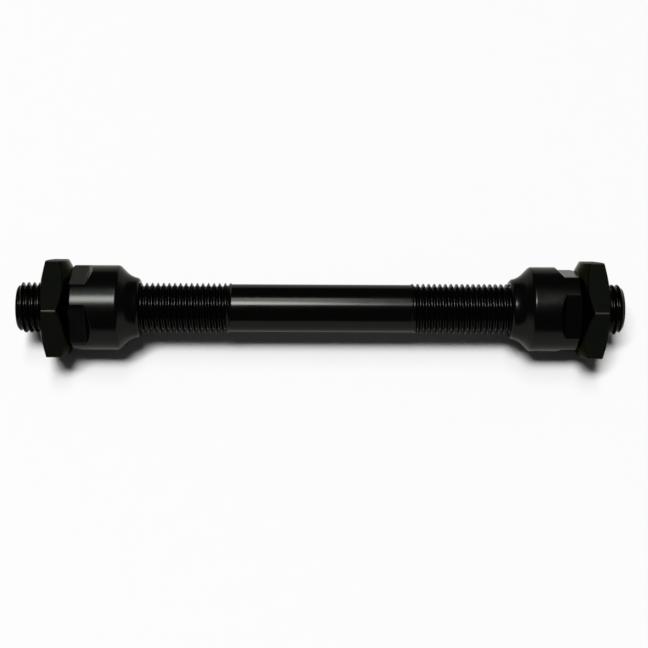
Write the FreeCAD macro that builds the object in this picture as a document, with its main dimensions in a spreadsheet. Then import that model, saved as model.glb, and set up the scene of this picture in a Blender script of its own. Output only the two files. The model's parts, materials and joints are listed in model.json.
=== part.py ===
import FreeCAD, Part
import math
import os
import Sketcher
from FreeCAD import Placement, Rotation, Vector

# Hollow front hub axle: a threaded tube that carries a bearing cone and a locknut on each end.
# The axle lies along X. The origin is on its axis, midway between the locknuts' outer faces.
# The thread is drawn as a plain cylinder at its outside diameter.

# Driving dimensions, in millimetres and degrees: alias, value, meaning.
SIZES = [
    ("over_locknuts", 100, "distance over the locknuts' outer faces"),
    ("stub_length", 4, "axle past each locknut, with the axle in the middle"),
    ("axle_shift", 0.7, "how far the axle sits to the left of the middle"),
    ("thread_diameter", 9, "outside diameter of the axle's thread"),
    ("thread_clearance", 0.05, "radial gap between the axle's thread and a nut or cone"),
    ("shank_length", 32, "plain middle of the axle"),
    ("shank_relief", 0.2, "depth of the plain middle below the thread"),
    ("skewer_bore", 5.2, "diameter of the axle's through bore"),
    ("end_chamfer", 0.7, "chamfer on the axle's ends, outside"),
    ("bore_chamfer", 0.3, "chamfer on the axle's ends, inside"),
    ("nut_flats", 17, "locknut, width across flats"),
    ("nut_thickness", 5, "locknut, thickness"),
    ("nut_outer_inset", 1.5, "serrated face, from a flat in to the circle where the chamfer starts"),
    ("nut_outer_slope", 17, "serrated face, slope of the chamfer"),
    ("nut_inner_inset", 1.5, "inner face, from a flat in to the circle where the chamfer starts"),
    ("nut_inner_slope", 30, "inner face, slope of the chamfer"),
    ("nut_lead", 0.4, "locknut, lead-in chamfer of the thread"),
    ("tooth_count", 30, "serrated face, number of grooves"),
    ("tooth_depth", 0.4, "serrated face, depth of a groove"),
    ("tooth_gap", 0.9, "serrated face, width of a groove"),
    ("tooth_ring", 0.35, "serrated face, plain ring inside the grooves"),
    ("cone_diameter", 15.2, "cone, diameter of the round body"),
    ("cone_barrel", 8.35, "cone, length of the round body"),
    ("cone_edge", 0.3, "cone, chamfer on the outer end"),
    ("cone_lead", 0.4, "cone, lead-in chamfer of the thread"),
    ("shoulder_slope", 45, "cone, slope before the race"),
    ("shoulder_round", 0.8, "cone, rounding between the round body and the slope"),
    ("race_radius", 3.8, "ball race, radius of the hollow"),
    ("race_end_slope", 10, "ball race, slope where it reaches the nose"),
    ("nose_chamfer", 0.35, "cone, chamfer on the nose"),
    ("nose_face", 0.45, "cone, flat ring on the nose"),
    ("flat_count", 4, "spanner flats, number around the cone"),
    ("flat_depth", 1.05, "spanner flats, depth of each"),
    ("flat_length", 2.8, "spanner flats, length along the axle up to the ramp"),
    ("flat_ramp", 45, "spanner flats, slope of the ramp that ends each"),
    ("left_flat_turn", 55, "spanner flats, turn of the left cone about the axle"),
    ("right_flat_turn", 52.5, "spanner flats, turn of the right cone about the axle"),
]

# Formulas on the sheet that several pieces share.
HALF_AXLE = "(sizes.over_locknuts / 2 + sizes.stub_length)"
THREAD_R = "sizes.thread_diameter / 2"
FEMALE_R = "(sizes.thread_diameter / 2 + sizes.thread_clearance)"
CONE_R = "sizes.cone_diameter / 2"
LOCKNUT_PLACE = "sizes.over_locknuts / 2"
CONE_PLACE = "(sizes.over_locknuts / 2 - sizes.nut_thickness)"

X_DIRECTION = Vector(1, 0, 0)
Z_DIRECTION = Vector(0, 0, 1)
FULL_TURN = 360
HALF_TURN = 180


def make_sheet(doc):
    """The spreadsheet of driving dimensions: meaning in column A, value in column B."""
    sheet = doc.addObject("Spreadsheet::Sheet", "sizes")
    for row, (alias, value, meaning) in enumerate(SIZES, start=1):
        sheet.set(f"A{row}", meaning)
        sheet.set(f"B{row}", str(value))
        sheet.setAlias(f"B{row}", alias)
    doc.recompute()


def new_body(doc, label):
    body = doc.addObject("PartDesign::Body", label)
    body.Label = label
    return body


def origin_feature(body, role):
    return next(f for f in body.Origin.OriginFeatures if f.Role == role)


def new_sketch(body, name, plane):
    """An empty sketch on one of the body's own origin planes."""
    sketch = body.newObject("Sketcher::SketchObject", name)
    sketch.AttachmentSupport = [(origin_feature(body, plane), "")]
    sketch.MapMode = "FlatFace"
    return sketch


def bind_new(sketch, kind, geometry, formula, value):
    """Add a dimension to a sketch and bind it to a formula."""
    index = sketch.addConstraint(Sketcher.Constraint(kind, *geometry, value))
    sketch.setExpression(f"Constraints[{index}]", formula)


def left_turning_arc(start, end, radius):
    """The arc from start to end that turns left about its centre."""
    chord = end - start
    to_centre = Vector(-chord.y, chord.x, 0).normalize()
    rise = math.sqrt(radius**2 - (chord.Length / 2) ** 2)
    centre = (start + end) / 2 + to_centre * rise
    angles = [math.atan2(p.y - centre.y, p.x - centre.x) for p in (start, end)]
    return Part.ArcOfCircle(Part.Circle(centre, Z_DIRECTION, radius), *angles)


def closed_outline(sketch, corners, left_arcs=None, right_arcs=None):
    """Draw a closed outline whose corners are pairs of formulas.

    left_arcs and right_arcs map the corner where a side that turns that way starts to the formula
    of its radius. The other sides are straight. A sketch calls a curve's start 1 and its end 2.
    """
    left_arcs = left_arcs or {}
    right_arcs = right_arcs or {}
    places = [Vector(sketch.evalExpression(x), sketch.evalExpression(y), 0) for x, y in corners]
    sides = []
    for corner, start, end in zip(corners, places, places[1:] + places[:1]):
        ends = (1, 2)
        if corner in left_arcs:
            curve = left_turning_arc(start, end, sketch.evalExpression(left_arcs[corner]))
        elif corner in right_arcs:
            # A sketch's arcs all turn left, so this one is drawn from its far end.
            curve = left_turning_arc(end, start, sketch.evalExpression(right_arcs[corner]))
            ends = (2, 1)
        else:
            curve = Part.LineSegment(start, end)
        sides.append((sketch.addGeometry(curve), *ends))
    for (side, _, last), (following, first, _) in zip(sides, sides[1:] + sides[:1]):
        sketch.addConstraint(Sketcher.Constraint("Coincident", side, last, following, first))
    for (side, first, _), place, (x, y) in zip(sides, places, corners):
        bind_new(sketch, "DistanceX", (-1, 1, side, first), x, place.x)
        bind_new(sketch, "DistanceY", (-1, 1, side, first), y, place.y)
    arcs = {**left_arcs, **right_arcs}
    for (side, _, _), corner in zip(sides, corners):
        if corner in arcs:
            bind_new(sketch, "Radius", (side,), arcs[corner], sketch.evalExpression(arcs[corner]))


def revolve(body, sketch, kind, name):
    """Turn a half section about the axle: kind is Revolution to add it and Groove to cut it."""
    feature = body.newObject(f"PartDesign::{kind}", name)
    feature.Profile = sketch
    feature.ReferenceAxis = (sketch, ["H_Axis"])
    feature.Angle = FULL_TURN
    return feature


def extrude(body, sketch, kind, name, length, reverse):
    """Pad or Pocket a sketch by a length given as a formula."""
    feature = body.newObject(f"PartDesign::{kind}", name)
    feature.Profile = sketch
    feature.Reversed = reverse
    feature.setExpression("Length", length)
    return feature


def repeat_around(body, feature, name, count):
    """Repeat a cut around the axle as often as a formula says. The body ends with it."""
    pattern = body.newObject("PartDesign::PolarPattern", name)
    pattern.Originals = [feature]
    pattern.Axis = (origin_feature(body, "X_Axis"), [""])
    pattern.Angle = FULL_TURN
    pattern.setExpression("Occurrences", count)
    body.Tip = pattern


def place_on_axle(body, side, distance):
    """Set a piece whose own X points at the axle's middle on the left or right end."""
    if side == "left":
        body.setExpression("Placement.Base.x", f"-{distance}")
    else:
        body.Placement = Placement(Vector(), Rotation(Z_DIRECTION, HALF_TURN))
        body.setExpression("Placement.Base.x", distance)


def make_axle(doc):
    """Threaded tube with a plain, slightly thinner middle and chamfered ends."""
    body = new_body(doc, "hollow_axle")
    bore_r = "sizes.skewer_bore / 2"
    shank_r = f"({THREAD_R} - sizes.shank_relief)"
    shank_end = "sizes.shank_length / 2"
    # Right half of the section, from the middle outwards and then in to the bore.
    right_half = [
        (shank_end, shank_r),
        (f"({shank_end} + sizes.shank_relief)", THREAD_R),
        (f"({HALF_AXLE} - sizes.end_chamfer)", THREAD_R),
        (HALF_AXLE, f"({THREAD_R} - sizes.end_chamfer)"),
        (HALF_AXLE, f"({bore_r} + sizes.bore_chamfer)"),
        (f"({HALF_AXLE} - sizes.bore_chamfer)", bore_r),
    ]
    left_half = [(f"-{x}", r) for x, r in reversed(right_half)]
    section = new_sketch(body, "axle_section", "XY_Plane")
    closed_outline(section, right_half + left_half)
    revolve(body, section, "Revolution", "turned_tube")
    body.setExpression("Placement.Base.x", "-sizes.axle_shift")
    return body


def make_cone(doc, side):
    """Bearing cone: round body, sloped shoulder, hollow ball race and spanner flats.

    Its own X runs from the end that meets the locknut towards the nose. The nose fits round the
    thread. The race rises from it until it's as steep as the shoulder, which goes on in line with
    it up to the round body, with a rounding between them.
    """
    body = new_body(doc, f"{side}_cone")
    slope, end_slope = "sizes.shoulder_slope", "sizes.race_end_slope"
    touch = f"(sizes.shoulder_round * tan({slope} / 2))"
    round_start = f"(sizes.cone_barrel - {touch})"
    slope_start = f"(sizes.cone_barrel + {touch} * cos({slope}))"
    slope_start_r = f"({CONE_R} - {touch} * sin({slope}))"
    nose_r = f"({FEMALE_R} + sizes.nose_face)"
    race_end_r = f"({nose_r} + sizes.nose_chamfer)"
    race_start_r = f"({race_end_r} + sizes.race_radius * (cos({end_slope}) - cos({slope})))"
    race_start = f"(sizes.cone_barrel + ({CONE_R} - {race_start_r}) / tan({slope}))"
    race_end = f"({race_start} + sizes.race_radius * (sin({slope}) - sin({end_slope})))"
    nose_end = f"({race_end} + sizes.nose_chamfer)"
    section = new_sketch(body, f"{side}_cone_section", "XY_Plane")
    corners = [
        ("sizes.cone_lead", FEMALE_R),
        ("0", f"({FEMALE_R} + sizes.cone_lead)"),
        ("0", f"({CONE_R} - sizes.cone_edge)"),
        ("sizes.cone_edge", CONE_R),
        (round_start, CONE_R),
        (slope_start, slope_start_r),
        (race_start, race_start_r),
        (race_end, race_end_r),
        (nose_end, nose_r),
        (nose_end, FEMALE_R),
    ]
    rounding = {(round_start, CONE_R): "sizes.shoulder_round"}
    race = {(race_start, race_start_r): "sizes.race_radius"}
    closed_outline(section, corners, left_arcs=race, right_arcs=rounding)
    revolve(body, section, "Revolution", f"{side}_cone_turned")
    # One flat, milled from the outer end and left by a ramp, repeated around the cone.
    milled = new_sketch(body, f"{side}_cone_flat_section", "XY_Plane")
    milled.AttachmentOffset = Placement(Vector(), Rotation(X_DIRECTION, HALF_TURN))
    milled.setExpression("AttachmentOffset.Rotation.Angle", f"sizes.{side}_flat_turn")
    foot = f"({CONE_R} - sizes.flat_depth)"
    ramp_end = "(sizes.flat_length + 2 * sizes.flat_depth / tan(sizes.flat_ramp))"
    above = f"({CONE_R} + sizes.flat_depth)"
    closed_outline(milled, [("0", foot), ("sizes.flat_length", foot), (ramp_end, above), ("0", above)])
    flat = extrude(body, milled, "Pocket", f"{side}_cone_flat", "sizes.cone_diameter", reverse=False)
    flat.SideType = "Symmetric"
    repeat_around(body, flat, f"{side}_cone_flats", "sizes.flat_count")
    place_on_axle(body, side, CONE_PLACE)
    return body


def make_locknut(doc, side):
    """Hexagon locknut, chamfered on both faces and serrated on the face that grips the fork.

    Its own X runs from the serrated face towards the cone, and two flats face up and down.
    """
    body = new_body(doc, f"{side}_locknut")
    half_flats = "sizes.nut_flats / 2"
    corner_r = "sizes.nut_flats / sqrt(3)"
    half_side = "sizes.nut_flats / sqrt(12)"
    hexagon = new_sketch(body, f"{side}_locknut_hexagon", "YZ_Plane")
    upper = [(corner_r, "0"), (half_side, half_flats), (f"-{half_side}", half_flats)]
    lower = [(f"-{corner_r}", "0"), (f"-{half_side}", f"-{half_flats}"), (half_side, f"-{half_flats}")]
    closed_outline(hexagon, upper + lower)
    extrude(body, hexagon, "Pad", f"{side}_locknut_blank", "sizes.nut_thickness", reverse=False)
    # A chamfer removes what lies outside a shallow cone. The cut reaches well past the corners.
    reach = "sizes.nut_flats"
    for end in ("outer", "inner"):
        name = f"{side}_locknut_{end}_chamfer"
        face_r = f"({half_flats} - sizes.nut_{end}_inset)"
        fall = f"({reach} - {face_r}) * tan(sizes.nut_{end}_slope)"
        if end == "outer":
            face, cone = "0", fall
        else:
            face, cone = "sizes.nut_thickness", f"(sizes.nut_thickness - {fall})"
        triangle = new_sketch(body, f"{name}_section", "XY_Plane")
        closed_outline(triangle, [(face, face_r), (face, reach), (cone, reach)])
        revolve(body, triangle, "Groove", name)
    bore = new_sketch(body, f"{side}_locknut_bore_section", "XY_Plane")
    lead_r = f"({FEMALE_R} + sizes.nut_lead)"
    bore_corners = [
        ("0", "0"),
        ("0", lead_r),
        ("sizes.nut_lead", FEMALE_R),
        ("(sizes.nut_thickness - sizes.nut_lead)", FEMALE_R),
        ("sizes.nut_thickness", lead_r),
        ("sizes.nut_thickness", "0"),
    ]
    closed_outline(bore, bore_corners)
    revolve(body, bore, "Groove", f"{side}_locknut_bore")
    # One V groove, cut outwards from the plain ring, repeated around the face.
    notch = new_sketch(body, f"{side}_locknut_groove_section", "XY_Plane")
    half_gap = "sizes.tooth_gap / 2"
    closed_outline(notch, [("0", f"-{half_gap}"), ("sizes.tooth_depth", "0"), ("0", half_gap)])
    notch.setExpression("AttachmentOffset.Base.z", f"{lead_r} + sizes.tooth_ring")
    groove = extrude(body, notch, "Pocket", f"{side}_locknut_groove", reach, reverse=True)
    repeat_around(body, groove, f"{side}_locknut_serrations", "sizes.tooth_count")
    place_on_axle(body, side, LOCKNUT_PLACE)
    return body


def check(doc, bodies):
    """Stop if a feature failed, a cut removed nothing or a piece isn't one sound solid."""
    for thing in doc.Objects:
        if {"Invalid", "Error"} & set(thing.State):
            raise RuntimeError(f"{thing.Label} failed: {thing.State}")
    for body in bodies:
        if body.Shape.isNull() or not body.Shape.isValid() or len(body.Shape.Solids) != 1:
            raise RuntimeError(f"{body.Label} is not one sound solid")
        steps = [f for f in body.Group if f.isDerivedFrom("PartDesign::Feature")]
        for before, after in zip(steps, steps[1:]):
            if after.Shape.Volume >= before.Shape.Volume:
                raise RuntimeError(f"{after.Label} removed nothing")


def main():
    doc = FreeCAD.newDocument("hollow_hub_axle")
    make_sheet(doc)
    bodies = [make_axle(doc)]
    for side in ("left", "right"):
        bodies.append(make_cone(doc, side))
        bodies.append(make_locknut(doc, side))
    doc.recompute()
    check(doc, bodies)
    os.makedirs("parts", exist_ok=True)
    for body in bodies:
        body.Shape.exportStep(f"parts/{body.Label}.step")


main()
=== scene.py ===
import json
import math

import bmesh
import bpy
import numpy as np
from bpy.props import FloatProperty, FloatVectorProperty, IntProperty, PointerProperty
from mathutils import Matrix, Quaternion, Vector


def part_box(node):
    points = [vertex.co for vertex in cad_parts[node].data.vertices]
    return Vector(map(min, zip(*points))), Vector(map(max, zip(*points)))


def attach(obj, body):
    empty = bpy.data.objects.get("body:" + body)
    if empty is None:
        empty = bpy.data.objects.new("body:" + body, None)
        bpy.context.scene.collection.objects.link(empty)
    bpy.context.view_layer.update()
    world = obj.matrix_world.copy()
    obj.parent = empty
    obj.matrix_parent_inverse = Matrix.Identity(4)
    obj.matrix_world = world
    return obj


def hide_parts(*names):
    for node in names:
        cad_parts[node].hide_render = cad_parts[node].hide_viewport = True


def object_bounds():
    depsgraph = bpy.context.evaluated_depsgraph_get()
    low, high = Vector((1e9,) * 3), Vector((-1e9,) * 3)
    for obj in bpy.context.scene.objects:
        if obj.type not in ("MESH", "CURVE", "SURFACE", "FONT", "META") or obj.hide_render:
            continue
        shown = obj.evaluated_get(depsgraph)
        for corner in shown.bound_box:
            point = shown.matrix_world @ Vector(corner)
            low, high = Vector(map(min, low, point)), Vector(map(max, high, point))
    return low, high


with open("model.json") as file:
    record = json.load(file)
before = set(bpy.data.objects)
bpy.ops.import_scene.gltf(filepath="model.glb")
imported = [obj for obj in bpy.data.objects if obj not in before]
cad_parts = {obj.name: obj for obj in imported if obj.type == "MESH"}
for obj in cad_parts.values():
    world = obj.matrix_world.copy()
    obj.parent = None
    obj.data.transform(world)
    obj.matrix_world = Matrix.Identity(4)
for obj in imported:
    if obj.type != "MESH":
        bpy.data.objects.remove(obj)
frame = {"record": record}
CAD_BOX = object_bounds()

bl_info = {
    "name": "Hollow Hub Axle",
    "version": (1, 0, 0),
    "blender": (4, 5, 0),
    "location": "View3D > Sidebar > Hub Axle",
    "description": "Dresses a hollow hub axle with its thread, cones, locknuts and black finish",
    "category": "Object",
}

MM = 0.001
TURN = 2 * math.pi
SIDES = ("left", "right")

# Sizes and places that the frame gives. The axle lies along X and the pieces are turned about it.
AXLE_LOW, AXLE_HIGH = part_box("hollow_axle")
AXLE_MIDDLE = (AXLE_LOW.x + AXLE_HIGH.x) / 2
THREAD_RADIUS = AXLE_HIGH.y
CONE_LOW, CONE_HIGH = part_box("left_cone")
CONE_RADIUS = CONE_HIGH.y
CONE_PLACE = -CONE_LOW.x
LOCKNUT_LOW, LOCKNUT_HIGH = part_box("left_locknut")
LOCKNUT_LENGTH = LOCKNUT_HIGH.x - LOCKNUT_LOW.x
LOCKNUT_HALF = LOCKNUT_HIGH.z
LOCKNUT_PLACE = -LOCKNUT_LOW.x
SKEWER_BORE = next(m for m in frame["record"]["mounts"] if m["name"] == "skewer_bore")
BORE_RADIUS = SKEWER_BORE["dims"]["r_mm"] * MM

# Half a turn of the thread's section: share of the pitch from the crest's middle, share of the depth.
THREAD_PLACES = (0.0, 0.055, 0.09, 0.37, 0.43, 0.5)
THREAD_DEPTHS = (0.0, 0.0, 0.06, 0.88, 0.97, 1.0)
THREAD_SHARES = sorted([-p for p in THREAD_PLACES[1:-1]] + list(THREAD_PLACES[1:]))
# Turns added before and after a threaded stretch, so that the helix covers it at every angle.
SPARE_TURNS = 3

# Half the angle that one side of a hexagon spans.
HALF_SIDE = TURN / 12
# Steps of the round stretches, and places across a groove or a rounded corner from edge to edge.
SHOULDER_STEPS = 8
RACE_STEPS = 16
EDGE_TO_EDGE = (-1, -0.5, 0, 0.5, 1)
# A rounded corner has these steps and takes up at most this share of the sides that meet there.
ROUND_STEPS = 3
ROUND_REACH = 0.45
# Points nearer to each other than this, in metres, are one point.
SAME_POINT = 1e-9
# Faces that meet at a sharper angle than this keep a crisp edge.
SHARP_COSINE = math.cos(math.radians(50))
# X of a face's normal. Up to the first value the face is one of the hexagon's flats, and from the
# second on it is a turned face.
FLAT_LEAN = 0.1
TURNED_LEAN = 0.5
# Octaves of the noise in clouds and grain, and in the lathe's marks.
NOISE_DETAIL = 2
MARK_DETAIL = 3
# Places of the colours among a Mix node's sockets.
MIX_FIRST, MIX_SECOND, MIX_RESULT = 6, 7, 2
# The camera shows nothing nearer than this share of its distance.
NEAR_SHARE = 0.01


def length(name, description, millimetres):
    """A size in metres whose default is given in millimetres."""
    return FloatProperty(
        name=name, description=description, default=millimetres * MM, unit="LENGTH", precision=5
    )


def angle(name, description, degrees):
    return FloatProperty(
        name=name, description=description, default=math.radians(degrees), subtype="ANGLE"
    )


def share(name, description, value):
    return FloatProperty(
        name=name, description=description, default=value, min=0, max=1, subtype="FACTOR"
    )


def count(name, description, value, least=2):
    return IntProperty(name=name, description=description, default=value, min=least)


def pixels(name, description, value):
    return FloatProperty(
        name=name, description=description, default=value, min=0, subtype="PIXEL"
    )


def brightness(name, description, value):
    return FloatProperty(name=name, description=description, default=value, min=0)


def ceiling_pair(name, description, metres):
    """A place or size on the ceiling, along the axle and across it."""
    return FloatVectorProperty(
        name=name, description=description, default=metres, size=2, unit="LENGTH"
    )


def colour(name, description, value):
    return FloatVectorProperty(
        name=name, description=description, default=value, size=3, min=0, max=1, subtype="COLOR"
    )


class AxleSizes(bpy.types.PropertyGroup):
    """Sizes of the threaded tube."""

    pitch: length("Pitch", "Travel of the thread in one turn", 1)
    thread_depth: length("Thread depth", "From the thread's crest down to its root", 0.613)
    clearance: length("Clearance", "Gap between the axle's thread and the one inside a piece", 0.05)
    shank_length: length("Plain middle", "Length of the plain middle", 32)
    shank_relief: length("Relief", "Depth of the plain middle below the thread's crest", 0.2)
    run_out: length("Run-out", "Length over which the thread fades into the plain middle", 1)
    right_start: angle("Right start", "How far around the right thread starts from the left one", 180)
    end_chamfer: length("End chamfer", "Chamfer on the outside of the axle's ends", 0.7)
    bore_chamfer: length("Bore chamfer", "Chamfer on the inside of the axle's ends", 0.3)
    columns: count("Columns", "Steps around the axle", 96, least=12)


class ConeSizes(bpy.types.PropertyGroup):
    """Sizes of the two bearing cones."""

    barrel: length("Barrel", "Length of the round body", 8.35)
    edge: length("Edge", "Chamfer on the outer end", 0.3)
    lead: length("Lead-in", "Chamfer where the thread starts", 0.4)
    shoulder_slope: angle("Shoulder slope", "Slope before the race", 45)
    shoulder_round: length("Shoulder round", "Rounding between the round body and the slope", 0.8)
    race_radius: length("Race radius", "Radius of the ball race's hollow", 3.8)
    race_end_slope: angle("Race end", "Slope of the race where it reaches the nose", 10)
    nose_chamfer: length("Nose chamfer", "Chamfer on the nose", 0.35)
    nose_face: length("Nose face", "Flat ring on the nose", 0.45)
    flat_depth: length("Flat depth", "Depth of each spanner flat", 1.05)
    flat_length: length("Flat length", "Length of the spanner flats up to the ramp", 2.8)
    flat_ramp: angle("Flat ramp", "Slope of the ramp that ends each spanner flat", 45)
    soft_edge: length("Soft edge", "Rounding left on the milled edges", 0.12)
    left_turn: angle("Left turn", "Turn of the left cone's flats about the axle", 55)
    right_turn: angle("Right turn", "Turn of the right cone's flats about the axle", 52.5)
    flat_count: count("Flats", "Number of spanner flats", 4)
    flat_steps: count("Flat steps", "Steps across a spanner flat", 16)
    land_steps: count("Land steps", "Steps across the round stretch between flats", 12)


class LocknutSizes(bpy.types.PropertyGroup):
    """Sizes of the two hexagon locknuts."""

    outer_inset: length("Outer inset", "From a flat in to the serrated face's chamfer", 1.5)
    outer_slope: angle("Outer slope", "Slope of the serrated face's chamfer", 17)
    inner_inset: length("Inner inset", "From a flat in to the inner face's chamfer", 1.5)
    inner_slope: angle("Inner slope", "Slope of the inner face's chamfer", 30)
    lead: length("Lead-in", "Chamfer where the thread starts", 0.4)
    corner_round: length("Corner", "Rounding of the hexagon's corners", 0.4)
    outer_edge: length("Outer edge", "Rounding left on the serrated face's edges", 0.08)
    inner_edge: length("Inner edge", "Rounding left on the inner chamfer's edges", 0.2)
    tooth_depth: length("Groove depth", "Depth of a groove in the serrated face", 0.4)
    tooth_gap: length("Groove width", "Width of a groove in the serrated face", 0.9)
    tooth_ring: length("Plain ring", "Plain ring inside the grooves", 0.35)
    tooth_count: count("Grooves", "Number of grooves in the serrated face", 30, least=3)


class FinishLooks(bpy.types.PropertyGroup):
    """Colours, gloss and fine relief of the black finishes."""

    axle_dark: colour("Axle dark", "Deepest black of the axle", (0.0118, 0.0123, 0.0113))
    axle_light: colour("Axle light", "Palest black of the axle", (0.0154, 0.0160, 0.0146))
    axle_gloss: share("Axle roughness", "Roughness of the drawn tube", 0.17)
    axle_cloud_swing: share("Axle clouds' swing", "How far clouds vary the axle's roughness", 0.06)
    axle_mark_swing: share("Axle marks' swing", "How far marks vary the axle's roughness", 0.06)
    axle_clouds: length("Axle clouds", "Size of the cloudy patches on the axle", 3)
    axle_grain: length("Axle grain", "Size of the axle's grain", 0.15)
    axle_marks: length("Axle marks", "Spacing of the lathe's marks on the axle", 0.12)
    axle_relief: length("Axle relief", "Depth of the axle's grain and marks", 0.0008)

    cone_dark: colour("Cone dark", "Deepest black of the cones", (0.0113, 0.0118, 0.0107))
    cone_light: colour("Cone light", "Palest black of the cones", (0.0146, 0.0153, 0.0140))
    cone_gloss: share("Cone roughness", "Roughness of the turned body", 0.23)
    race_gloss: share("Race roughness", "Roughness of the ground ball race", 0.22)
    cone_cloud_swing: share("Cone clouds' swing", "How far clouds vary a cone's roughness", 0.08)
    cone_mark_swing: share("Cone marks' swing", "How far marks vary a cone's roughness", 0.04)
    cone_clouds: length("Cone clouds", "Size of the cloudy patches on the cones", 2.5)
    cone_grain: length("Cone grain", "Size of the cones' grain", 0.12)
    cone_marks: length("Cone marks", "Spacing of the lathe's marks on the cones", 0.2)
    cone_relief: length("Cone relief", "Depth of the cones' grain and marks", 0.0015)

    nut_dark: colour("Nut dark", "Deepest black of the locknuts", (0.0043, 0.0049, 0.0037))
    nut_light: colour("Nut light", "Palest black of the locknuts", (0.0057, 0.0065, 0.0048))
    # Paler black on the hexagon's corners: part worn finish, part a painted highlight along each
    # rounded corner.
    nut_corner_wear_and_glint: colour("Nut corners", "Thin black on the hexagon's corners", (0.047, 0.050, 0.042))
    nut_gloss: share("Nut roughness", "Roughness of the locknuts", 0.18)
    nut_cloud_swing: share("Nut clouds' swing", "How far clouds vary a nut's roughness", 0.1)
    nut_grain_swing: share("Nut grain's swing", "How far the grain varies a nut's roughness", 0.04)
    nut_clouds: length("Nut clouds", "Size of the cloudy patches on the locknuts", 2)
    nut_grain: length("Nut grain", "Width of the drawn bar's grain", 0.12)
    nut_draw: share("Nut grain's draw", "Width of the bar's grain, as a share of its length", 0.25)
    nut_relief: length("Nut relief", "Depth of the bar's grain", 0.001)

    metal: share("Metal", "How much of a turned face shines as metal, the rest being dull", 0.94)
    flat_metal: share("Flat metal", "How much of a hexagon's flat shines as metal", 0.2)
    edge_tint: colour("Edge tint", "Grazing reflection of the axle and cones", (0.66, 0.67, 0.64))
    nut_edge_tint: colour("Nut edge tint", "Grazing reflection of the locknuts", (0.5, 0.51, 0.48))


class StageLooks(bpy.types.PropertyGroup):
    """Camera, lamps and floor."""

    distance: length("Distance", "From the camera to the axle's middle", 250)
    sideways: length("Sideways", "How far the camera stands to the left of the axle's middle", 6)
    elevation: angle("Elevation", "Height of the camera above the horizon", 64)
    roll: angle("Roll", "Turn of the camera about its own line of sight", 0.23)
    lens: FloatProperty(
        name="Lens", description="Focal length of the camera", default=77.33, unit="CAMERA"
    )
    image_size: pixels("Image size", "Width and height of the picture", 648)
    middle_column: pixels("Middle column", "Column of the picture where the axle's middle lies", 325.2)
    middle_row: pixels("Middle row", "Row of the picture where the axle's middle lies", 308.45)

    lamp_height: length("Lamp height", "Height of the ceiling lamps", 6000)
    strip_place: ceiling_pair("Strip place", "Middle of the bright lamp", (-0.66, -0.3))
    strip_size: ceiling_pair("Strip size", "Length and width of the bright lamp", (1.68, 1.5))
    strip_turn: angle("Strip turn", "Turn of the bright lamp and its narrow end", 14)
    strip_light: brightness("Strip light", "Radiance of the bright lamp and its narrow end", 39)
    tail_place: ceiling_pair("Tail place", "Middle of the bright lamp's narrow left end", (-1.95, -0.6))
    tail_size: ceiling_pair("Tail size", "Length and width of the narrow left end", (1.02, 0.72))
    glow_place: ceiling_pair("Glow place", "Middle of the dim lamp", (-0.114, 1.59))
    glow_size: ceiling_pair("Glow size", "Length and width of the dim lamp", (0.75, 2.16))
    glow_light: brightness("Glow light", "Radiance of the dim lamp", 12)
    room: colour("Room", "Light that comes from the rest of the room", (0.05, 0.05, 0.05))

    floor: colour("Floor", "Colour of the floor", (0.8, 0.8, 0.8))
    floor_shade: share("Floor shade", "Darkest grain of the floor, as a share of its colour", 0.99)
    floor_gloss: share("Floor roughness", "Roughness of the floor", 0.9)
    floor_grain: length("Floor grain", "Size of the floor's grain", 4)
    floor_reach: length("Floor reach", "Half the width of the floor", 12000)


class HubAxleSettings(bpy.types.PropertyGroup):
    """All that a user can change."""

    axle: PointerProperty(type=AxleSizes)
    cone: PointerProperty(type=ConeSizes)
    locknut: PointerProperty(type=LocknutSizes)
    looks: PointerProperty(type=FinishLooks)
    stage: PointerProperty(type=StageLooks)


class Wire:
    """A shader socket that takes part in Python arithmetic."""

    def __init__(self, finish, socket):
        self.finish = finish
        self.socket = socket

    def __add__(self, other):
        return self.finish.maths("ADD", self, other)

    def __radd__(self, other):
        return self.finish.maths("ADD", other, self)

    def __sub__(self, other):
        return self.finish.maths("SUBTRACT", self, other)

    def __rsub__(self, other):
        return self.finish.maths("SUBTRACT", other, self)

    def __mul__(self, other):
        return self.finish.maths("MULTIPLY", self, other)

    def __rmul__(self, other):
        return self.finish.maths("MULTIPLY", other, self)

    def __abs__(self):
        return self.finish.maths("ABSOLUTE", self)


class Finish:
    """A procedural material, built node by node on its Principled shader."""

    def __init__(self, name):
        self.material = bpy.data.materials.new(name)
        self.material.use_nodes = True
        self.tree = self.material.node_tree
        self.shader = self.tree.nodes["Principled BSDF"]

    def join(self, value, socket):
        """Link a wire to a socket, or set a plain value on it."""
        if isinstance(value, Wire):
            self.tree.links.new(value.socket, socket)
        elif socket.type == "RGBA":
            socket.default_value = (*value, 1)
        else:
            socket.default_value = value

    def node(self, kind, settings=None, inputs=None, output=0):
        """Add a node: its settings first, then the values or links of its sockets."""
        made = self.tree.nodes.new(kind)
        for name, value in (settings or {}).items():
            setattr(made, name, value)
        for name, value in (inputs or {}).items():
            self.join(value, made.inputs[name])
        return Wire(self, made.outputs[output])

    def maths(self, operation, *values):
        return self.node("ShaderNodeMath", {"operation": operation}, dict(enumerate(values)))

    def surface(self, inputs):
        """Set the shader's own sockets to values or links."""
        for name, value in inputs.items():
            self.join(value, self.shader.inputs[name])


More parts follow.
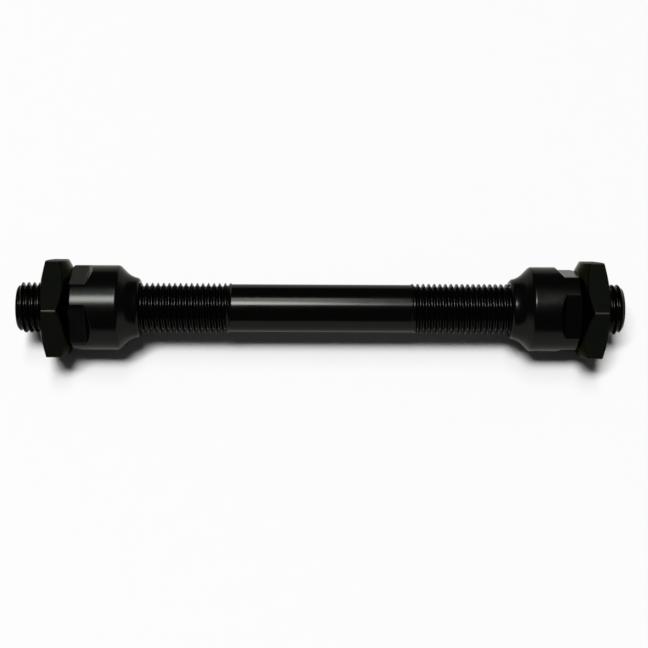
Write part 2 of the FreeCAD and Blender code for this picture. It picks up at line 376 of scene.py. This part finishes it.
class Skin:
    """Points and faces of a turned piece. Points that coincide become one."""

    def __init__(self):
        self.points = []
        self.faces = []
        self.numbers = {}

    def point(self, x, radius, around):
        place = (x, radius * math.cos(around), radius * math.sin(around))
        key = tuple(round(c / SAME_POINT) for c in place)
        if key not in self.numbers:
            self.numbers[key] = len(self.points)
            self.points.append(place)
        return self.numbers[key]

    def wrap(self, columns):
        """Span neighbouring columns. A column is a closed loop of (x, radius, angle)."""
        loops = [[self.point(*p) for p in column] for column in columns]
        for near, far in zip(loops, loops[1:]):
            for a, b, c, d in zip(near, near[1:] + near[:1], far[1:] + far[:1], far):
                corners = [p for p, before in ((a, d), (b, a), (c, b), (d, c)) if p != before]
                if len(set(corners)) > 2:
                    self.faces.append(corners)

    def piece(self, name, place):
        """The closed piece as an object, moved by a matrix."""
        mesh = bpy.data.meshes.new(name)
        mesh.from_pydata([place @ Vector(p) for p in self.points], [], self.faces)
        shell = bmesh.new()
        shell.from_mesh(mesh)
        if not all(edge.is_manifold for edge in shell.edges):
            raise RuntimeError(f"{name} is not a closed skin")
        bmesh.ops.recalc_face_normals(shell, faces=shell.faces)
        shell.to_mesh(mesh)
        shell.free()
        shade(mesh)
        made = bpy.data.objects.new(name, mesh)
        bpy.context.scene.collection.objects.link(made)
        return made


def shade(mesh):
    """Smooth shading in which large faces count for more, so that flats stay flat to their edges."""
    normals = [face.normal.copy() for face in mesh.polygons]
    areas = [face.area for face in mesh.polygons]
    meeting = [[] for _ in mesh.vertices]
    for face in mesh.polygons:
        for vertex in face.vertices:
            meeting[vertex].append(face.index)
    leanings = []
    for face in mesh.polygons:
        own = normals[face.index]
        for vertex in face.vertices:
            near = (other for other in meeting[vertex] if normals[other].dot(own) > SHARP_COSINE)
            total = sum((normals[other] * areas[other] for other in near), Vector((0, 0, 0)))
            leanings.append(total.normalized())
    mesh.shade_smooth()
    mesh.normals_split_custom_set(leanings)


def hand_over(piece, node, body, finish):
    """Put a piece in the place of its node, on its body, with its finish."""
    piece.data.materials.append(finish.material)
    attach(piece, body)
    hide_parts(node)


def clamp(value):
    return min(max(value, 0.0), 1.0)


def softened(path):
    """Round the corners of an open path of (x, radius, size of the rounding).

    A rounding is a quadratic curve between two cuts, one on each side of the corner.
    """
    points = [Vector(p[:2]) for p in path]
    rounded = [points[0]]
    for before, corner, after, (_, _, size) in zip(points, points[1:], points[2:], path[1:]):
        if not size:
            rounded.append(corner)
            continue
        cuts = []
        for arm in (before - corner, after - corner):
            reach = min(size, ROUND_REACH * arm.length)
            cuts.append(corner + arm.normalized() * reach)
        for step in range(ROUND_STEPS + 1):
            t = step / ROUND_STEPS
            rounded.append(cuts[0] * (1 - t) ** 2 + corner * 2 * t * (1 - t) + cuts[1] * t**2)
    rounded.append(points[-1])
    return [tuple(p) for p in rounded]


def arc(centre, radius, start, end, steps):
    """Points of a round stretch, both ends included."""
    angles = [start + (end - start) * step / steps for step in range(steps + 1)]
    return [(centre[0] + radius * math.cos(a), centre[1] + radius * math.sin(a)) for a in angles]


def thread_stations(start, end, around, pitch, phase):
    """Places along the axle where the thread's section bends, at one angle around it."""
    first = math.floor(start / pitch - phase) - SPARE_TURNS
    last = math.ceil(end / pitch - phase) + SPARE_TURNS
    lead = around / TURN + phase
    places = [pitch * (turn + part + lead) for turn in range(first, last) for part in THREAD_SHARES]
    return [min(max(place, start), end) for place in places]


def thread_cut(x, around, axle, phase):
    """Depth of the thread below its crest."""
    turns = x / axle.pitch - around / TURN - phase
    return axle.thread_depth * np.interp(abs(turns - round(turns)), THREAD_PLACES, THREAD_DEPTHS)


def bore_section(far_end, around, axle, phase, mouths):
    """Threaded bore of a nut or cone, from its far end back to its near one.

    mouths are the bore's radii at its near and far faces, where it opens at 45 degrees.
    """
    section = []
    for x in reversed(thread_stations(0, far_end, around, axle.pitch, phase)):
        thread = THREAD_RADIUS + axle.clearance - thread_cut(x, around, axle, phase)
        section.append((x, max(thread, mouths[0] - x, mouths[1] - (far_end - x)), around))
    return section


def end_place(side, distance):
    """Matrix that sets a piece whose own X points at the axle's middle on one of its ends."""
    if side == "left":
        return Matrix.Translation((-distance, 0, 0))
    return Matrix.Translation((distance, 0, 0)) @ Matrix.Rotation(math.pi, 4, "Z")


def end_phase(side, distance, axle):
    """Phase of the axle's thread as a piece on one of its ends sees it, in turns."""
    if side == "left":
        return distance / axle.pitch
    # A piece on the right faces the other way, which is half a turn.
    return distance / axle.pitch - axle.right_start / TURN - 0.5


def axle_radius(x, around, axle, phase):
    """Outside of the axle: chamfered ends, thread, run-out and plain middle."""
    past_shank = abs(x - AXLE_MIDDLE) - axle.shank_length / 2
    thread = thread_cut(x, around, axle, phase) * clamp(past_shank / axle.run_out)
    relief = max(axle.shank_relief - past_shank, 0)
    from_end = min(x - AXLE_LOW.x, AXLE_HIGH.x - x)
    return THREAD_RADIUS - max(thread, relief, axle.end_chamfer - from_end)


def axle_column(around, axle):
    """Section of the axle at one angle: left mouth of the bore, outside, right mouth."""
    half = axle.shank_length / 2
    low, high, mouth = AXLE_LOW.x, AXLE_HIGH.x, axle.bore_chamfer
    outside = []
    for start, end, phase in (
        (low, AXLE_MIDDLE - half, 0),
        (AXLE_MIDDLE + half, high, axle.right_start / TURN),
    ):
        stations = thread_stations(start, end, around, axle.pitch, phase)
        outside += [(x, axle_radius(x, around, axle, phase)) for x in stations]
    left_mouth = [(low + mouth, BORE_RADIUS), (low, BORE_RADIUS + mouth)]
    right_mouth = [(high, BORE_RADIUS + mouth), (high - mouth, BORE_RADIUS)]
    return [(x, r, around) for x, r in left_mouth + outside + right_mouth]


def race_outline(cone, bore):
    """Shoulder and hollow race of a cone, and the end of its nose, as (x, radius) points."""
    slope, end_slope, upright = cone.shoulder_slope, cone.race_end_slope, math.pi / 2
    rise = cone.race_radius * (math.cos(end_slope) - math.cos(slope))
    race_start = bore + cone.nose_face + cone.nose_chamfer + rise
    start = Vector((cone.barrel + (CONE_RADIUS - race_start) / math.tan(slope), race_start))
    # The rounding touches the round body and the slope. The race goes on in line with the slope.
    inset = cone.shoulder_round * math.tan(slope / 2)
    centre = (cone.barrel - inset, CONE_RADIUS - cone.shoulder_round)
    hollow = start + cone.race_radius * Vector((math.sin(slope), math.cos(slope)))
    shoulder = arc(centre, cone.shoulder_round, upright, upright - slope, SHOULDER_STEPS)
    race = arc(hollow, cone.race_radius, -upright - slope, -upright - end_slope, RACE_STEPS)
    nose = (race[-1][0] + cone.nose_chamfer, race[-1][1] - cone.nose_chamfer)
    return shoulder + race, nose


def cone_column(around, side, cone, axle):
    """Section of a cone at one angle, in its own frame."""
    bore = THREAD_RADIUS + axle.clearance
    turn = cone.left_turn if side == "left" else cone.right_turn
    share_of_turn = TURN / cone.flat_count
    from_flat = (around - turn + share_of_turn / 2) % share_of_turn - share_of_turn / 2
    foot = CONE_RADIUS - cone.flat_depth
    wall = min(CONE_RADIUS, foot / math.cos(from_flat))
    rise = max(CONE_RADIUS * math.cos(from_flat) - foot, 0)
    ramp_end = cone.flat_length + rise / math.tan(cone.flat_ramp)
    rim = CONE_RADIUS - cone.edge
    soft = cone.soft_edge
    outline, nose = race_outline(cone, bore)
    path = [
        (0, bore + cone.lead, 0),
        (0, min(rim, wall), soft),
        (max(wall - rim, 0), wall, soft),
        (cone.flat_length, wall, soft),
        (ramp_end, CONE_RADIUS, soft),
        *[(x, r, 0) for x, r in outline],
        (*nose, soft),
        (nose[0], bore, 0),
    ]
    phase = end_phase(side, CONE_PLACE, axle)
    inside = bore_section(nose[0], around, axle, phase, (bore + cone.lead, bore))
    return [(x, r, around) for x, r in softened(path)] + inside


def cone_angles(side, cone):
    """Angles of a cone's columns: close to even, with one on each edge of a flat."""
    turn = cone.left_turn if side == "left" else cone.right_turn
    half = math.acos((CONE_RADIUS - cone.flat_depth) / CONE_RADIUS)
    land = TURN / cone.flat_count - 2 * half
    angles = []
    for flat in range(cone.flat_count):
        start = turn + TURN * flat / cone.flat_count - half
        angles += [start + 2 * half * step / cone.flat_steps for step in range(cone.flat_steps)]
        angles += [start + 2 * half + land * step / cone.land_steps for step in range(cone.land_steps)]
    return angles + [angles[0] + TURN]


def hexagon_radius(around, nut):
    """Outside of the hexagon, which has flats above and below and rounded corners."""
    from_flat = (around - TURN / 4 + HALF_SIDE) % (2 * HALF_SIDE) - HALF_SIDE
    inner = LOCKNUT_HALF - nut.corner_round
    if abs(from_flat) <= math.atan(inner * math.tan(HALF_SIDE) / LOCKNUT_HALF):
        return LOCKNUT_HALF / math.cos(from_flat)
    from_corner = HALF_SIDE - abs(from_flat)
    centre = inner / math.cos(HALF_SIDE)
    across = centre * math.sin(from_corner)
    return centre * math.cos(from_corner) + math.sqrt(nut.corner_round**2 - across**2)


def locknut_column(middle, offset, depth, side, nut, axle):
    """Section of a locknut, in its own frame.

    The column stands at an offset from a line through the axis at the angle middle, so that a groove
    keeps its width from the plain ring out to the chamfer. depth is the groove's there.
    """
    bore = THREAD_RADIUS + axle.clearance
    mouth = bore + nut.lead
    ring = mouth + nut.tooth_ring
    outer_face = LOCKNUT_HALF - nut.outer_inset
    inner_face = LOCKNUT_HALF - nut.inner_inset
    outer_slope = math.tan(nut.outer_slope)
    inner_slope = math.tan(nut.inner_slope)

    def around(radius):
        return middle + math.asin(offset / min(max(radius, ring), outer_face))

    corner = hexagon_radius(around(outer_face), nut)
    path = [
        (0, mouth, 0),
        (0, ring, 0),
        (depth, ring, 0),
        (depth, outer_face + depth / outer_slope, nut.outer_edge),
        ((corner - outer_face) * outer_slope, corner, nut.outer_edge),
        (LOCKNUT_LENGTH - (corner - inner_face) * inner_slope, corner, nut.inner_edge),
        (LOCKNUT_LENGTH, inner_face, nut.inner_edge),
        (LOCKNUT_LENGTH, mouth, 0),
    ]
    phase = end_phase(side, LOCKNUT_PLACE, axle)
    inside = bore_section(LOCKNUT_LENGTH, around(mouth), axle, phase, (mouth, mouth))
    return [(x, r, around(r)) for x, r in softened(path)] + inside


def locknut_stations(nut):
    """Columns of a locknut as (angle, offset, groove depth).

    They cross each groove, then the middle of the land after it, where a corner may stand.
    """
    step = TURN / nut.tooth_count
    edge = nut.corner_round * math.tan(HALF_SIDE) / LOCKNUT_HALF
    stations = []
    for number_of_groove in range(nut.tooth_count):
        groove = TURN / 4 + step * number_of_groove
        for part in EDGE_TO_EDGE:
            stations.append((groove, part * nut.tooth_gap / 2, nut.tooth_depth * (1 - abs(part))))
        for part in EDGE_TO_EDGE:
            stations.append((groove + step / 2 + part * edge, 0, 0))
    first = stations[0]
    return stations + [(first[0] + TURN, *first[1:])]


def noise(finish, place, size):
    """Soft noise about a half, whose patches are about the given size in metres."""
    inputs = {"Vector": place, "Scale": 1 / size, "Detail": NOISE_DETAIL}
    return finish.node("ShaderNodeTexNoise", inputs=inputs)


def turning_marks(finish, along, spacing):
    """Fine lines around the axle, left by the lathe."""
    inputs = {"W": along, "Scale": 1 / spacing, "Detail": MARK_DETAIL}
    return finish.node("ShaderNodeTexNoise", {"noise_dimensions": "1D"}, inputs)


def varied(middle, *swings):
    """A middle value that is varied by pairs of a noise about a half and the width of its swing."""
    value = middle - sum(swing for _, swing in swings) / 2
    for pattern, swing in swings:
        value = value + pattern * swing
    return value


def ramp(finish, value, start, end):
    """Mask that rises from 0 at the start to 1 at the end."""
    inputs = {"Value": value, "From Min": start, "From Max": end}
    return finish.node("ShaderNodeMapRange", inputs=inputs)


def scaled(finish, place, factors):
    return finish.node("ShaderNodeVectorMath", {"operation": "MULTIPLY"}, {0: place, 1: factors})


def along_axle(finish, vector):
    return finish.node("ShaderNodeSeparateXYZ", inputs={"Vector": vector}, output="X")


def blend(finish, factor, first, second):
    """Colour between two others."""
    inputs = {0: factor, MIX_FIRST: first, MIX_SECOND: second}
    return finish.node("ShaderNodeMix", {"data_type": "RGBA"}, inputs, output=MIX_RESULT)


def bump(finish, height, depth):
    return finish.node("ShaderNodeBump", inputs={"Height": height, "Distance": depth, "Strength": 1})


def blackened(finish, metal, edge_tint, shade_of_black, roughness, relief):
    """Black steel: a dark metal whose shine grows little at a glancing angle."""
    finish.surface({
        "Base Color": shade_of_black,
        "Roughness": roughness,
        "Metallic": metal,
        "Specular IOR Level": 0,
        "Specular Tint": edge_tint,
        "Normal": relief,
    })
    return finish


def axle_finish(looks):
    """Drawn and blackened tube: glossy, faintly streaked around, with a cloudy black layer."""
    finish = Finish("black_axle_steel")
    place = finish.node("ShaderNodeTexCoord", output="Object")
    clouds = noise(finish, place, looks.axle_clouds)
    grain = noise(finish, place, looks.axle_grain)
    marks = turning_marks(finish, along_axle(finish, place), looks.axle_marks)
    roughness = varied(
        looks.axle_gloss, (clouds, looks.axle_cloud_swing), (marks, looks.axle_mark_swing)
    )
    relief = bump(finish, grain + marks, looks.axle_relief)
    shade_of_black = blend(finish, clouds, looks.axle_dark, looks.axle_light)
    return blackened(finish, looks.metal, looks.edge_tint, shade_of_black, roughness, relief)


def cone_finish(looks, cone):
    """Turned and blackened cone: satin body with faint marks, ball race ground even."""
    finish = Finish("black_cone_steel")
    place = finish.node("ShaderNodeTexCoord", output="Object")
    along = along_axle(finish, place)
    clouds = noise(finish, place, looks.cone_clouds)
    grain = noise(finish, place, looks.cone_grain)
    marks = turning_marks(finish, along, looks.cone_marks)
    body_gloss = varied(
        looks.cone_gloss, (clouds, looks.cone_cloud_swing), (marks, looks.cone_mark_swing)
    )
    shoulder = CONE_PLACE - cone.barrel
    race = ramp(finish, abs(along), shoulder, shoulder - cone.shoulder_round)
    roughness = body_gloss * (1 - race) + race * looks.race_gloss
    relief = bump(finish, grain + marks, looks.cone_relief)
    shade_of_black = blend(finish, clouds, looks.cone_dark, looks.cone_light)
    return blackened(finish, looks.metal, looks.edge_tint, shade_of_black, roughness, relief)


def turned_faces(finish):
    """Mask of the faces that were turned on the lathe, which lean along the axle."""
    facing = finish.node("ShaderNodeTexCoord", output="Normal")
    return ramp(finish, abs(along_axle(finish, facing)), FLAT_LEAN, TURNED_LEAN)


def corner_wear_and_glint_mask(finish, place, nut):
    """Mask of the hexagon's rounded corners, which stand furthest from the axle. A paler black goes
    there, part wear and part a painted highlight along each corner.
    """
    inner = LOCKNUT_HALF - nut.corner_round
    corner_start = math.hypot(LOCKNUT_HALF, inner * math.tan(HALF_SIDE))
    corner_top = inner / math.cos(HALF_SIDE) + nut.corner_round
    across = scaled(finish, place, (0, 1, 1))
    measure = {"operation": "LENGTH"}
    from_axle = finish.node("ShaderNodeVectorMath", measure, {0: across}, output="Value")
    return ramp(finish, from_axle, corner_start, corner_top)


def locknut_finish(looks, nut):
    """Blackened bar steel: dull flats with the bar's grain, shining chamfers, and paler corners, part
    wear and part painted highlight.
    """
    finish = Finish("black_nut_steel")
    place = finish.node("ShaderNodeTexCoord", output="Object")
    clouds = noise(finish, place, looks.nut_clouds)
    grain = noise(finish, scaled(finish, place, (looks.nut_draw, 1, 1)), looks.nut_grain)
    roughness = varied(
        looks.nut_gloss, (clouds, looks.nut_cloud_swing), (grain, looks.nut_grain_swing)
    )
    relief = bump(finish, grain, looks.nut_relief)
    black = blend(finish, clouds, looks.nut_dark, looks.nut_light)
    # Paler black on the corners: part wear, part a painted highlight along each rounded corner.
    shade_of_black = blend(finish, corner_wear_and_glint_mask(finish, place, nut), black, looks.nut_corner_wear_and_glint)
    metal = looks.flat_metal + turned_faces(finish) * (looks.metal - looks.flat_metal)
    return blackened(finish, metal, looks.nut_edge_tint, shade_of_black, roughness, relief)


def floor_finish(stage):
    """Plain pale table top with a faint grain."""
    finish = Finish("pale_floor")
    place = finish.node("ShaderNodeTexCoord", output="Object")
    grain = noise(finish, place, stage.floor_grain)
    shade_of_grain = [stage.floor_shade * c for c in stage.floor]
    pale = blend(finish, grain, shade_of_grain, stage.floor)
    finish.surface({"Base Color": pale, "Roughness": stage.floor_gloss})
    return finish


class HUBAXLE_OT_axle(bpy.types.Operator):
    """Turn the hollow axle with its two threads"""

    bl_idname = "hub_axle.axle"
    bl_label = "Hollow axle"

    def execute(self, context):
        settings = context.scene.hub_axle
        axle = settings.axle
        skin = Skin()
        skin.wrap([axle_column(TURN * step / axle.columns, axle) for step in range(axle.columns + 1)])
        piece = skin.piece("threaded_axle", Matrix())
        hand_over(piece, "hollow_axle", "axle", axle_finish(settings.looks))
        return {"FINISHED"}


class HUBAXLE_OT_cones(bpy.types.Operator):
    """Turn the two bearing cones and mill their spanner flats"""

    bl_idname = "hub_axle.cones"
    bl_label = "Bearing cones"

    def execute(self, context):
        settings = context.scene.hub_axle
        cone = settings.cone
        finish = cone_finish(settings.looks, cone)
        for side in SIDES:
            skin = Skin()
            skin.wrap([cone_column(a, side, cone, settings.axle) for a in cone_angles(side, cone)])
            piece = skin.piece(f"{side}_bearing_cone", end_place(side, CONE_PLACE))
            hand_over(piece, f"{side}_cone", f"{side}_cone", finish)
        return {"FINISHED"}


class HUBAXLE_OT_locknuts(bpy.types.Operator):
    """Make the two hexagon locknuts with their serrated faces"""

    bl_idname = "hub_axle.locknuts"
    bl_label = "Locknuts"

    def execute(self, context):
        settings = context.scene.hub_axle
        nut = settings.locknut
        finish = locknut_finish(settings.looks, nut)
        for side in SIDES:
            skin = Skin()
            skin.wrap([locknut_column(*s, side, nut, settings.axle) for s in locknut_stations(nut)])
            piece = skin.piece(f"{side}_hexagon_locknut", end_place(side, LOCKNUT_PLACE))
            hand_over(piece, f"{side}_locknut", f"{side}_locknut", finish)
        return {"FINISHED"}


def add_lamp(name, place, height, size, radiance, turn=0):
    """A flat lamp on the ceiling that faces the floor, as bright all over as the radiance says."""
    light = bpy.data.lights.new(name, "AREA")
    light.shape = "RECTANGLE"
    light.size, light.size_y = size
    light.energy = radiance * math.pi * size[0] * size[1]
    lamp = bpy.data.objects.new(name, light)
    lamp.location = (*place, height)
    lamp.rotation_euler.z = turn
    bpy.context.scene.collection.objects.link(lamp)


def add_floor(stage):
    """The floor, level with the underside of the part."""
    height = CAD_BOX[0].z
    reach = stage.floor_reach
    signs = ((-1, -1), (1, -1), (1, 1), (-1, 1))
    corners = [(x * reach, y * reach, height) for x, y in signs]
    mesh = bpy.data.meshes.new("floor")
    mesh.from_pydata(corners, [], [range(len(corners))])
    mesh.materials.append(floor_finish(stage).material)
    floor = bpy.data.objects.new("floor", mesh)
    bpy.context.scene.collection.objects.link(floor)


def add_camera(stage):
    """The camera looks along +Y and down, with the axle's middle on its place in the picture."""
    data = bpy.data.cameras.new("camera")
    data.lens = stage.lens
    camera = bpy.data.objects.new("camera", data)
    back = Vector((0, -math.cos(stage.elevation), math.sin(stage.elevation)))
    camera.location = back * stage.distance - Vector((stage.sideways, 0, 0))
    focal_pixels = stage.lens / data.sensor_width * stage.image_size
    half = stage.image_size / 2
    across = math.atan((stage.middle_column - half) / focal_pixels)
    swing = math.atan(stage.sideways / stage.distance) - across
    tilt = math.atan((half - stage.middle_row) / focal_pixels)
    turn = (-back).to_track_quat("-Z", "Y")
    for axis, amount in (((0, 1, 0), -swing), ((1, 0, 0), -tilt), ((0, 0, 1), stage.roll)):
        turn = turn @ Quaternion(axis, amount)
    camera.rotation_mode = "QUATERNION"
    camera.rotation_quaternion = turn
    data.clip_start = stage.distance * NEAR_SHARE
    bpy.context.scene.collection.objects.link(camera)
    bpy.context.scene.camera = camera


class HUBAXLE_OT_stage(bpy.types.Operator):
    """Set up the floor, the lamps and the camera"""

    bl_idname = "hub_axle.stage"
    bl_label = "Stage"

    def execute(self, context):
        stage = context.scene.hub_axle.stage
        add_floor(stage)
        height, light, turn = stage.lamp_height, stage.strip_light, stage.strip_turn
        add_lamp("bright_strip", stage.strip_place, height, stage.strip_size, light, turn)
        add_lamp("bright_tail", stage.tail_place, height, stage.tail_size, light, turn)
        add_lamp("dim_glow", stage.glow_place, height, stage.glow_size, stage.glow_light)
        world = bpy.data.worlds.new("room")
        world.use_nodes = True
        world.node_tree.nodes["Background"].inputs["Color"].default_value = (*stage.room, 1)
        context.scene.world = world
        context.scene.view_settings.view_transform = "Standard"
        add_camera(stage)
        return {"FINISHED"}


class HUBAXLE_PT_panel(bpy.types.Panel):
    """Sizes, finishes and stage of the hub axle, with a button for each step"""

    bl_idname = "HUBAXLE_PT_panel"
    bl_label = "Hollow Hub Axle"
    bl_space_type = "VIEW_3D"
    bl_region_type = "UI"
    bl_category = "Hub Axle"

    def draw(self, context):
        settings = context.scene.hub_axle
        groups = (settings.axle, settings.cone, settings.locknut, settings.looks, settings.stage)
        for group in groups:
            box = self.layout.box()
            for name in group.__annotations__:
                box.prop(group, name)
        for operator in OPERATORS:
            self.layout.operator(operator.bl_idname)


GROUPS = (AxleSizes, ConeSizes, LocknutSizes, FinishLooks, StageLooks, HubAxleSettings)
OPERATORS = (HUBAXLE_OT_axle, HUBAXLE_OT_cones, HUBAXLE_OT_locknuts, HUBAXLE_OT_stage)
CLASSES = (*GROUPS, *OPERATORS, HUBAXLE_PT_panel)


def register():
    for each in CLASSES:
        bpy.utils.register_class(each)
    bpy.types.Scene.hub_axle = PointerProperty(type=HubAxleSettings)


def unregister():
    del bpy.types.Scene.hub_axle
    for each in reversed(CLASSES):
        bpy.utils.unregister_class(each)


def main():
    register()
    bpy.ops.hub_axle.axle()
    bpy.ops.hub_axle.cones()
    bpy.ops.hub_axle.locknuts()
    bpy.ops.hub_axle.stage()


if __name__ == "__main__":
    main()
